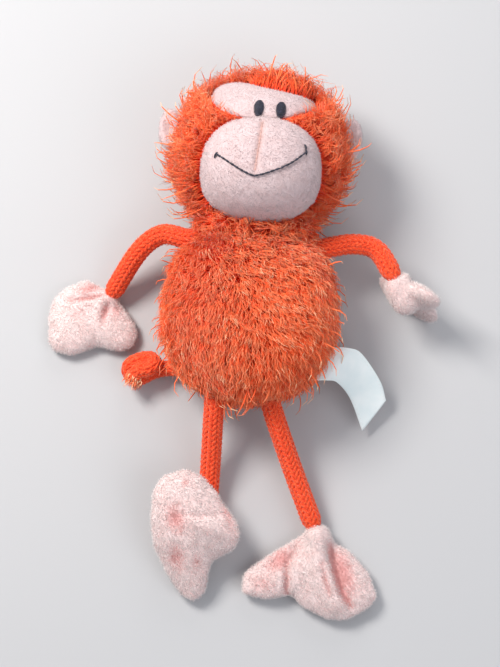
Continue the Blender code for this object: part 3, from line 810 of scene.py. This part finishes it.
def fur(name, places, normals, comb, lengths, body, seed, coat, pale=0.0, calm=1.0):
    """Fur as tapered strands in several colours, with shade painted darker at the base and highlight
    painted lighter at the ends, in as many pieces as it needs.
    """
    rng = np.random.default_rng(seed)
    centres, lock = coat.grow(places, normals, comb, lengths, calm * np.ones(len(places)), rng)
    lift_off_floor(centres)
    tone = rng.uniform(0, 1, lock.max() + 1)[lock] * 0.6 + rng.uniform(0, 0.4, len(places)) + pale
    mid = np.where(tone > 0.5, 2, 1)
    tip = np.where(tone > 0.82, 4, np.where(tone > 0.3, 3, 2))
    # painted shade on each strand's first segment; its last two segments take a lighter colour,
    # mostly the painted highlight
    marks = np.stack((np.zeros(len(mid), int), mid, mid, tip, tip), 1)
    radii = STRAND_RADII * rng.uniform(0.75, 1.2, (len(mid), 1))
    ups = np.repeat(normals[:, None], STRAND_RINGS, 1)
    parts = -(-len(places) // STRANDS_A_PIECE)
    for part in range(parts):
        mine = slice(part, None, parts)
        shape = Shape()
        shape.tubes(centres[mine], radii[mine] * coat.thick * MM, ups[mine], 3, marks[mine])
        piece = shape.make(f"{name}_{part + 1}", FUR)
        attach(piece, body)


def fur_form(name, nodes, body, cap):
    """The sewn and filled backing that the fur grows from."""
    made = outer_skin(name, nodes[:2])
    remesh(made, FUR_VOXEL, 3)
    inflate(made, near_nodes(corners_of(made), nodes[:2], 1.2), cap)
    subdivide(made)
    places = corners_of(made) - normals_of(made) * 0.9 * MM
    lift_off_floor(places)
    set_corners(made, places)
    cover(made, BACKING)
    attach(made, body)
    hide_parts(*nodes)
    return made


def thinned_below(normals, rng):
    """Keeps about half of the fur that the toy lies on."""
    return (normals[:, 2] > -0.55) | (rng.uniform(0, 1, len(normals)) < 0.55)


def make_head_fur(base, face):
    """The head's coat, short beside the face and away from the ear, with long strays outside."""
    rng = np.random.default_rng(5)
    places, normals, _ = scatter(base, FUR_DENSITY, rng)
    gaps, aways = face_clearance(places, face)
    keep = (gaps > 0.6) & thinned_below(normals, rng)
    keep &= ~near_nodes(places, ("right_ear_front",), EAR_CLEARANCE)
    places, normals, gaps, aways = (values[keep] for values in (places, normals, gaps, aways))
    near = np.clip((4.0 - gaps) / 3.0, 0, 1)[:, None]
    comb = unit(head_comb(places, normals) * (1 - near) + tangent(aways, normals) * near)
    ear = near_nodes(places, ("right_ear_front",), EAR_REACH)
    crown = np.clip((places[:, 1] / MM - 88.0) / 12.0, 0, 1)
    lengths = HEAD_FUR - FACE_TRIM * near[:, 0] + CROWN_GROWTH * crown
    lengths = (lengths + rng.exponential(0.8, len(places))) * np.where(ear, EAR_TRIM, 1.0)
    fur("head_fur", places, normals, comb, lengths * MM, "head", 6, HEAD_COAT,
        calm=1 - 0.55 * near[:, 0])
    outer = (normals[:, 2] < 0.45) & (normals[:, 2] > -0.5) & (places[:, 1] > 46 * MM) & ~ear
    chosen = rng.permutation(np.flatnonzero(outer))[:HEAD_STRAYS]
    lengths = rng.uniform(8.5, 13.5, len(chosen)) * MM
    fur("stray_head_hair", places[chosen], normals[chosen], comb[chosen], lengths, "head", 14,
        STRAY_COAT, 0.35)


def make_body_fur(base):
    """The body's coat, with long strays at its sides."""
    rng = np.random.default_rng(7)
    places, normals, _ = scatter(base, FUR_DENSITY, rng)
    keep = thinned_below(normals, rng)
    places, normals = places[keep], normals[keep]
    comb = body_comb(places, normals)
    lengths = (BODY_FUR + rng.exponential(0.8, len(places))) * MM
    fur("body_fur", places, normals, comb, lengths, "torso", 8, BODY_COAT)
    outer = np.flatnonzero((normals[:, 2] < 0.6) & (normals[:, 2] > -0.5))
    chosen = rng.permutation(outer)[:BODY_STRAYS]
    lengths = rng.uniform(8.0, 11.0, len(chosen)) * MM
    fur("stray_body_hair", places[chosen], normals[chosen], comb[chosen], lengths, "torso", 15,
        STRAY_COAT, 0.35)


def make_neck():
    """The gathered neck, with its own fur, between the head and the body."""
    shape = bmesh.new()
    bmesh.ops.create_icosphere(shape, subdivisions=4, radius=1.0)
    bmesh.ops.scale(shape, vec=Vector(NECK_SIZE) * MM, verts=shape.verts)
    for vertex in shape.verts:
        turn = atan2(vertex.co.z, vertex.co.x)
        vertex.co *= 1 + NECK_DEPTH * sin(NECK_FOLDS * turn)
    bmesh.ops.translate(shape, vec=Vector(JOINTS["head_turn"]["pos_m"]), verts=shape.verts)
    base = object_from(shape, "neck_gathers")
    shade_smooth(base)
    cover(base, BACKING)
    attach(base, "neck")
    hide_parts("neck_gather")
    rng = np.random.default_rng(9)
    places, normals, _ = scatter(base, NECK_DENSITY, rng)
    down = tangent(np.tile((0.0, -1.0, 0.1), (len(places), 1)), normals)
    lengths = np.full(len(places), NECK_FUR * MM)
    fur("neck_fur", places, normals, down, lengths, "neck", 10, HEAD_COAT)


# ---- knitted cords

class Route:
    """A smooth line with its length and a frame that doesn't twist."""

    def __init__(self, points):
        self.line = smooth_path(points, 24)
        steps = np.linalg.norm(np.diff(self.line, axis=0), axis=1)
        self.run = np.concatenate(([0.0], np.cumsum(steps)))
        self.along = unit(np.gradient(self.line, axis=0))
        side = np.cross(self.along[0], UP if abs(self.along[0] @ UP) < 0.9 else (1.0, 0.0, 0.0))
        sides = []
        for heading in self.along:
            side = unit(side - heading * (side @ heading))
            sides.append(side)
        self.side = np.array(sides)
        self.length = self.run[-1]

    def at(self, run):
        """Point, heading and side at some lengths along the line."""
        run = np.clip(run, 0.0, self.length)
        parts = [np.stack([np.interp(run, self.run, values[:, axis]) for axis in range(3)], -1)
                 for values in (self.line, self.along, self.side)]
        return parts[0], unit(parts[1]), unit(parts[2])

    def run_of(self, point):
        """Length along the line at the place nearest to a point."""
        return self.run[np.argmin(np.linalg.norm(self.line - np.array(point), axis=1))]


def narrowing(route, run, tapers):
    """The share of its thickness that a cord keeps at some lengths along it."""
    if not tapers:
        return np.ones(len(run))
    return np.clip((route.length - run) / (END_TAPER * MM), 0.25, 1.0) ** 0.5


def knit_loops(route, first, last, radius, tapers):
    """Middle line of one spiral yarn in knit loops, and the way out of the cord at each point."""
    wales = WALES if radius > 4.0 * MM else WALES - 1
    hold = radius - (YARN + LOOP_DEPTH) * MM
    count = int((last - first) / (COURSE * MM) * wales * STEPS_PER_STITCH)
    rows = np.linspace(first, last, count) / (COURSE * MM)
    turn = 2 * pi * wales * (rows % 1.0)
    width = 2 * pi * hold / wales
    around = 2 * pi * rows + LOOP_SWING * width * np.sin(2 * turn) / hold
    run = rows * COURSE * MM + 0.92 * COURSE * MM * np.cos(turn)
    centre, heading, side = route.at(run)
    other = np.cross(heading, side)
    radial = side * np.cos(around)[:, None] + other * np.sin(around)[:, None]
    out = hold * narrowing(route, run, tapers) - LOOP_DEPTH * MM * np.cos(2 * turn)
    return centre + radial * out[:, None], radial


def add_shade_core(shape, route, first, last, radius, tapers):
    """A dark tube inside the cord, a little slimmer than its loops: painted shade that shows between
    them.
    """
    rings = max(4, int((last - first) / MM))
    runs = np.linspace(first, last, rings)
    middle, _, side = route.at(runs)
    hold = radius - (YARN + LOOP_DEPTH) * MM
    thick = np.full(rings, hold - 0.1 * MM) * narrowing(route, runs, tapers)
    shape.tube(middle, thick, side, 14, 1)


def add_fuzz(shape, yarn, radial, count, seed):
    """Fine fibres that stand out of the yarn."""
    rng = np.random.default_rng(seed)
    chosen = rng.integers(0, len(yarn), count)
    lean = unit(radial[chosen] + rng.normal(0, 0.55, (count, 3)))
    roots = yarn[chosen] + lean * YARN * 0.8 * MM
    tips = roots + lean * rng.uniform(0.4, 1.3, count)[:, None] * MM
    lift_off_floor(tips)
    shape.spikes(roots, tips, np.full(count, 0.07 * MM), np.full(count, 2))


def knit(name, route, first, last, radius, tapers=False, seed=0):
    """A stretch of knitted cord: a looped yarn over a dark core of painted shade, with fuzz."""
    shape = Shape()
    yarn, radial = knit_loops(route, first, last, radius, tapers)
    shape.tube(yarn, np.full(len(yarn), YARN * MM), radial, 5)
    add_shade_core(shape, route, first, last, radius, tapers)
    add_fuzz(shape, yarn, radial, int((last - first) / MM * FUZZ_A_MM), seed)
    made = shape.make(name, [YARN_CLOTH, YARN_SHADE_CORE, YARN_FUZZ])
    places = corners_of(made)
    lift_off_floor(places, CORD_GAP)
    set_corners(made, places)
    return made


def limb(side, kind, points, joints, nodes):
    """An arm or a leg in three stretches, cut halfway between its joints."""
    route = Route(points)
    pivots = [JOINTS[joint]["pos_m"] for joint in joints]
    turns = [route.run_of(pivot) for pivot in pivots]
    breaks = [0.0, (turns[0] + turns[1]) / 2, (turns[1] + turns[2]) / 2, route.length]
    for index, part in enumerate(("upper", "middle", "lower")):
        made = knit(f"{side}_{kind}_{part}_knit", route, breaks[index], breaks[index + 1],
                    CORD * MM, tapers=index == 2, seed=20 + index)
        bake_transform(made)
        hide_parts(nodes[index])


def make_limbs():
    """The two arms and the two legs."""
    for side, arm, leg in (("right", RIGHT_ARM, RIGHT_LEG), ("left", LEFT_ARM, LEFT_LEG)):
        limb(side, "arm", arm,
             [f"{side}_shoulder_swing", f"{side}_elbow_lift", f"{side}_wrist_flap"],
             [f"{side}_shoulder_cord", f"{side}_upper_arm_cord", f"{side}_forearm_cord"])
        limb(side, "leg", leg,
             [f"{side}_hip_flex", f"{side}_knee_bend", f"{side}_ankle_flap"],
             [f"{side}_hip_cord", f"{side}_thigh_cord", f"{side}_shin_cord"])


def fringe(route):
    """Strands of frayed yarn out of the end of the tail's cord, each with its own curl."""
    rng = np.random.default_rng(33)
    end, heading, side = (values[0] for values in route.at(np.array([route.length])))
    other = np.cross(heading, side)
    spread = rng.uniform(0, 2 * pi, FRINGE_STRANDS)
    away = rng.uniform(0, 1, FRINGE_STRANDS) ** 0.5
    around = np.cos(spread)[:, None] * side + np.sin(spread)[:, None] * other
    roots = end + around * away[:, None] * 2.6 * MM - heading * 2.0 * MM
    rings = np.linspace(0, 1, STRAND_RINGS)[None, :, None]
    reach = rng.uniform(3.0, 5.8, FRINGE_STRANDS)[:, None, None] * MM
    lean = (heading + around * (0.9 * away)[:, None] + (0.0, -0.8, -0.1))[:, None]
    curl = rng.normal(0, 0.16, (FRINGE_STRANDS, 1, 3)) * np.sin(rings * pi * 1.5)
    centres = roots[:, None] + (unit(lean) * rings + curl) * reach
    lift_off_floor(centres)
    radii = FRINGE_RADII * rng.uniform(0.7, 1.2, (FRINGE_STRANDS, 1)) * MM
    tone = rng.choice((1, 2, 3, 4), FRINGE_STRANDS, p=(0.2, 0.3, 0.3, 0.2))
    ups = np.tile(UP, (FRINGE_STRANDS, STRAND_RINGS, 1))
    shape = Shape()
    shape.tubes(centres, radii, ups, 3, np.repeat(tone[:, None], STRAND_RINGS, 1))
    return shape.make("tail_fringe", FUR)


def make_tail():
    """A thinner cord tied into a knot, frayed past it."""
    route = Route(TAIL)
    knot = knit("tail_knit", route, 0.0, route.length, TAIL_CORD * MM, seed=31)
    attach(knot, "tail")
    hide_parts("tail_cord", "tail_knot")
    tuft = fringe(route)
    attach(tuft, "tail")
    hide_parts("tail_tuft")


# ---- hands, feet, ears

def sleeve_at(pivot, way, length, radius):
    """Start, end and radius of the plush round the end of a cord."""
    way = Vector(way).normalized()
    start = Vector(pivot) + way * radius * 1.2 * MM
    return start, start + way * length * MM, radius


def make_hands_and_feet():
    """Four stuffed plush forms, each sewn over the end of its cord where that shows."""
    made = (("right_hand", "right_wrist_flap", RIGHT_HAND_CREASES, RIGHT_ARM, 5.7),
            ("left_hand", "left_wrist_flap", (), LEFT_ARM, 6.2),
            ("right_foot", "right_ankle_flap", RIGHT_FOOT_CREASES, RIGHT_LEG, 0.0),
            ("left_foot", "left_ankle_flap", LEFT_FOOT_CREASES, LEFT_LEG, 6.0))
    for index, (name, joint, folds, route, radius) in enumerate(made):
        ends = ("back", "palm") if name.endswith("hand") else ("top", "sole")
        nodes = (f"{name}_{ends[0]}", f"{name}_{ends[1]}", f"{name}_stuffing")
        pivot = JOINTS[joint]["pos_m"]
        way = Vector(route[-1]) - Vector(route[-2])
        sleeve = sleeve_at(pivot, way, 7.0, radius) if radius else None
        axis = LEFT_HAND_AXIS if name == "left_hand" else None
        base = cushion(f"{name}_cushion", nodes, name, PLUSH, folds, pivot, 1.3, sleeve=sleeve,
                       axis=axis)
        piece = pile(f"{name}_pile", base, PILE, 6.5, 1.35, 0.13, name, 40 + index)


def make_ears():
    """Two small velour ears with a hollow in front, with shade painted pinker into the hollow."""
    for index, (side, sign) in enumerate((("right", -1.0), ("left", 1.0))):
        nodes = (f"{side}_ear_front", f"{side}_ear_back")
        pivot = JOINTS[f"{side}_ear_fold"]["pos_m"]
        # the hollow's last value paints shade pinker into it
        hollow = ((((sign * 7.0, -3.0), (sign * 7.0, 3.0)), 0.9, 2.6, 0.3),)
        base = cushion(f"{side}_ear_cushion", nodes, f"{side}_ear", VELOUR, hollow, pivot, 0.5)
        piece = pile(f"{side}_ear_pile", base, NAP, 4.0, 0.8, 0.14, f"{side}_ear", 50 + index)


# ---- face

def on_surface(trees, x, y):
    """Point and normal of the highest surface under a place, in metres."""
    hits = [tree.ray_cast(Vector((x, y, 0.2)), Vector((0, 0, -1))) for tree in trees]
    hits = [hit for hit in hits if hit[0] is not None]
    best = max(hits, key=lambda hit: hit[0].z)
    return np.array(best[0]), np.array(best[1])


def stitches(name, runs, trees, radius, lift, material):
    """Separate stitches on the head, each a short fat thread that lies on the surface."""
    shape = Shape()
    for start, end in runs:
        share = np.linspace(0, 1, STITCH_RINGS)
        centres, ups = [], []
        for s in share:
            flat = (1 - s) * np.array(start) + s * np.array(end)
            place, normal = on_surface(trees, flat[0], flat[1])
            centres.append(place + normal * (lift * MM + radius * MM * (sin(pi * s) - 0.6)))
            ups.append(normal)
        radii = radius * MM * (0.35 + 0.65 * np.sin(pi * share) ** 0.4)
        shape.tube(np.array(centres), radii, np.array(ups), 6)
    made = shape.make(name, [material])
    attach(made, "head")
    return made


def stitch_runs(points, pitch, overlap, rng, straight=False):
    """Cuts a path in plan into overlapping stitches, each a little askew."""
    line = smooth_path([(*point, 0.0) for point in points], 1 if straight else 20)[:, :2]
    steps = np.linalg.norm(np.diff(line, axis=0), axis=1)
    run = np.concatenate(([0.0], np.cumsum(steps)))
    count = max(1, round(run[-1] / (pitch * MM)))
    marks = np.linspace(0, run[-1], count + 1)
    runs = []
    for a, b in zip(marks, marks[1:]):
        ends = [np.array([np.interp(s, run, line[:, axis]) for axis in (0, 1)])
                for s in (a - overlap * MM, b + overlap * MM)]
        skew = rng.normal(0, 0.07, 2) * MM
        runs.append((ends[0] + skew, ends[1] - skew))
    return runs


def form_muzzle(base):
    """Stretches the padded muzzle to its outline and draws its dart in, with shade painted pinker
    into the dart's groove.
    """
    places, normals = corners_of(base), normals_of(base)
    middle = np.array(FACE_MIDDLE) * MM
    stretched = (places[:, :2] - middle) * MUZZLE_STRETCH + middle + np.array(MUZZLE_SHIFT) * MM
    places[:, :2] = stretched
    gap, along = line_distance(places, np.array(MUZZLE_DART) * MM)
    share = np.exp(-(gap / (1.3 * MM)) ** 2) * np.clip(normals[:, 2], 0, 1)
    share *= 0.55 + 0.45 * np.cos(along * pi / 2)
    set_corners(base, places - normals * (1.0 * MM * share)[:, None])
    # painted shade along the dart's groove
    mark_crease_shade(base, share * 0.5)


def make_muzzle():
    """The padded muzzle with its dart and its pile."""
    nodes = ("muzzle_panel", "muzzle_stuffing")
    base = outer_skin("muzzle_cushion", nodes[:1], ("head_front_fur", "muzzle_stuffing"))
    remesh(base, MUZZLE_VOXEL, 9)
    places = corners_of(base)
    inflate(base, places[:, 2] < places[:, 2].min() + 2.5 * MM, 0.8)
    subdivide(base)
    form_muzzle(base)
    cover(base, VELOUR)
    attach(base, "head")
    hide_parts(*nodes)
    pile("muzzle_pile", base, NAP, 4.4, 0.8, 0.13, "head", 61)
    return base


def brow(ground, x, y):
    """Where the band lies, on the head or bridging out over its edge, and how far past it."""
    past = max(0.0, y - (BROW_EDGE - 0.012 * (x / MM) ** 2) * MM)
    return on_surface(ground, x, y - past)[0] + np.array((0.0, past, -1.1 * past)), past


def band_outline():
    """Points round the band's outline in plan."""
    curve = smooth_path([(*point, 0.0) for point in (*EYE_BAND, EYE_BAND[0])], 6)
    picks = np.linspace(0, len(curve) - 1, BAND_AROUND, endpoint=False)
    number = np.arange(len(curve))
    return np.stack([np.interp(picks, number, curve[:, axis]) for axis in (0, 1)], 1)


def band_points(ground, loop):
    """Rings of points from the rim over the cloth, then its middle above and below."""
    middle = np.array(BAND_MIDDLE) * MM
    rim = [brow(ground, x, y) for x, y in loop]
    rings = [[place - UP * (0.8 * MM + 0.35 * past) for place, past in rim]]
    for share in np.linspace(1.0, 0.0, BAND_ROUNDS + 1)[:-1]:
        crown = BAND_THICK * MM * (0.45 + 0.55 * (1 - share**8))
        flat = middle + (loop - middle) * share
        rings.append([brow(ground, x, y)[0] + UP * crown for x, y in flat])
    top = on_surface(ground, *middle)[0] + UP * BAND_THICK * MM
    return np.vstack((np.array(rings).reshape(-1, 3), top[None], (top - UP * 3.0 * MM)[None]))


def make_eye_band(head):
    """The velour band behind the eyes, cut to its outline and sewn flat on the head."""
    points = band_points([tree_of(head)], band_outline())
    grid = np.arange(len(points) - 2).reshape(-1, BAND_AROUND)
    after = np.roll(grid, -1, axis=1)
    walls = np.stack((grid[:-1], grid[1:], after[1:], after[:-1]), -1).reshape(-1, 4)
    tip = np.full(BAND_AROUND, grid.size)
    shape = Shape()
    shape.add(points, walls, np.zeros(len(walls), int))
    shape.add(None, np.stack((after[-1], grid[-1], tip), -1), np.zeros(BAND_AROUND, int))
    shape.add(None, np.stack((grid[0], after[0], tip + 1), -1), np.zeros(BAND_AROUND, int))
    band = shape.make("eye_band", [VELOUR])
    mark_crease_shade(band, np.zeros(len(points)))
    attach(band, "head")
    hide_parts("face_patch")
    pile("eye_band_pile", band, NAP, 4.4, 0.75, 0.13, "head", 62)
    return band


def eye_rows(x, y):
    """Level stitches that fill an eye's oval, each slanting a little."""
    slant = EYE_SLANT * MM
    rows = []
    for height in np.linspace(-1, 1, 15)[1:-1]:
        half = EYE_WIDTH * (1 - abs(height) ** 2.3) ** 0.5
        level = (y + EYE_HEIGHT * height) * MM
        rows.append((np.array(((x - half) * MM, level - slant)),
                     np.array(((x + half) * MM, level + slant))))
    return rows


def make_embroidery(muzzle, band):
    """The smile with a tick at each end, the dart's stitches and the two eyes."""
    trees = [tree_of(muzzle), tree_of(band)]
    rng = np.random.default_rng(71)
    runs = stitch_runs(MOUTH[0], 2.3, 0.05, rng) + stitch_runs(MOUTH[1], 2.3, 0.05, rng)
    for tick in MOUTH_TICKS:
        runs += stitch_runs(tick, 2.4, 0.2, rng, straight=True)
    mouth = stitches("mouth_stitches", runs, trees, 0.45, 0.72, BLACK_THREAD)
    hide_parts("mouth_thread")
    runs = stitch_runs(MUZZLE_DART, 1.7, 0.1, rng)
    dart = stitches("dart_stitches", runs, trees, 0.2, 0.12, PINK_THREAD)
    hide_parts("muzzle_seam_thread")
    for name, place in EYES.items():
        eye = stitches(name + "_satin", eye_rows(*place), trees, 0.37, 0.7, BLACK_THREAD)
        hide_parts(name)


# ---- care label

def ribbon(outer, inner):
    """Points between a ribbon's two edges, its upward normals and a slight ripple."""
    across = np.linspace(0, 1, LABEL_COLUMNS)[None, :, None]
    sheet = outer[:, None] * (1 - across) + inner[:, None] * across
    normal = unit(np.cross(np.gradient(sheet, axis=0), np.gradient(sheet, axis=1)))
    normal *= np.sign(normal[..., 2:])
    along = np.linspace(0, 1, len(sheet))[:, None]
    ripple = 0.35 * np.sin(pi * across[..., 0]) * np.sin(2.2 * pi * along) * MM
    return sheet, normal, ripple


def ribbon_shape(sheet, normal, ripple):
    """The ribbon's two sides and the rim that joins them."""
    top = sheet + normal * (ripple + LABEL_HALF * MM)[..., None]
    under = sheet + normal * (ripple - LABEL_HALF * MM)[..., None]
    grid = np.arange(ripple.size).reshape(ripple.shape)
    cells = np.stack((grid[:-1, :-1], grid[:-1, 1:], grid[1:, 1:], grid[1:, :-1]), -1)
    cells = cells.reshape(-1, 4)
    rim = np.concatenate((grid[0], grid[1:, -1], grid[-1, -2::-1], grid[-2:0:-1, 0]))
    after = np.roll(rim, -1)
    wall = np.stack((rim, after, after + grid.size, rim + grid.size), -1)
    faces = np.concatenate((cells[:, ::-1], cells + grid.size, wall))
    points = np.vstack((top.reshape(-1, 3), under.reshape(-1, 3)))
    shape = Shape()
    shape.add(points, faces, np.zeros(len(faces), int))
    return shape


def make_hem(outer, inner, normal):
    """A row of short stitches inside each long edge."""
    hem = Shape()
    for share in HEM_ROWS:
        line = outer * (1 - share) + inner * share
        line = line + normal[:, int(share * (LABEL_COLUMNS - 1))] * 0.2 * MM
        for a, b in zip(line[3::2], line[4::2]):
            hem.tube(np.linspace(a, b, len(HEM_RADII)), HEM_RADII * MM,
                     np.tile(UP, (len(HEM_RADII), 1)), 5)
    return hem.make("label_hem", [WHITE_THREAD])


def make_label():
    """A satin ribbon, cut slantwise and hung from the side seam."""
    outer, inner = smooth_path(LABEL_OUTER, 14), smooth_path(LABEL_INNER, 14)
    sheet, normal, ripple = ribbon(outer, inner)
    label = ribbon_shape(sheet, normal, ripple).make("label_ribbon", [SATIN])
    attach(label, "label")
    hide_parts("care_label")
    stitched = make_hem(outer, inner, normal)
    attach(stitched, "label")


# ---- stage

def aim(thing, target):
    """Turns a light to look at a point."""
    way = Vector(target) - thing.location
    thing.rotation_euler = way.to_track_quat("-Z", "Y").to_euler()


def area_light(name, place, target, size, energy, colour):
    """A square lamp; its size, place and target are in metres."""
    data = bpy.data.lights.new(name, "AREA")
    data.size = size
    data.energy = energy
    data.color = colour
    lamp = add_object(name, data)
    lamp.location = place
    aim(lamp, target)


def make_camera():
    """The camera above the toy, tilted and turned a little."""
    camera = add_object("camera", bpy.data.cameras.new("camera"))
    camera.data.lens = VIEW_LENS
    turn = Matrix.Rotation(radians(VIEW_TURN), 3, "Z") @ Matrix.Rotation(radians(VIEW_TILT), 3, "X")
    camera.rotation_euler = turn.to_euler()
    camera.location = Vector(VIEW_TARGET) * MM + turn @ Vector((0, 0, VIEW_AWAY * MM))
    bpy.context.scene.camera = camera


def make_lights():
    """A warm key light, a cool fill and a rim light, under a pale sky."""
    area_light("key", (-0.42, 0.30, 0.62), (0, 0, 0.02), 0.28, 7.2, (1.0, 0.97, 0.93))
    area_light("fill", (0.55, -0.35, 0.6), (0, 0, 0.02), 0.6, 2.2, (0.93, 0.96, 1.0))
    area_light("rim", (0.1, 0.7, 0.35), (0, 0.05, 0.02), 0.4, 1.4, (1.0, 1.0, 1.0))
    world = bpy.data.worlds.new("studio")
    world.use_nodes = True
    sky = world.node_tree.nodes["Background"]
    sky.inputs["Color"].default_value = (0.9, 0.93, 1.0, 1.0)
    sky.inputs["Strength"].default_value = 0.5
    bpy.context.scene.world = world
    bpy.context.scene.view_settings.view_transform = "Standard"


def make_floor():
    """A plain grey floor, reaching 12 metres each way."""
    shape = bmesh.new()
    bmesh.ops.create_grid(shape, x_segments=1, y_segments=1, size=12.0)
    floor = object_from(shape, "floor")
    floor.data.materials.append(shader("floor", (0.5, 0.5, 0.51, 1.0), 0.8)[2])


def main():
    """The stage, then the toy from its padded forms to its label."""
    make_camera()
    make_lights()
    make_floor()
    head = fur_form("head_backing", ("head_front_fur", "head_back_fur", "head_stuffing"), "head",
                    1.0)
    body = fur_form("body_backing", ("body_front_fur", "body_back_fur", "body_stuffing"),
                    "torso", 1.0)
    make_hands_and_feet()
    make_ears()
    muzzle = make_muzzle()
    band = make_eye_band(head)
    make_embroidery(muzzle, band)
    make_head_fur(head, (muzzle, band))
    make_body_fur(body)
    make_neck()
    make_limbs()
    make_tail()
    make_label()


main()
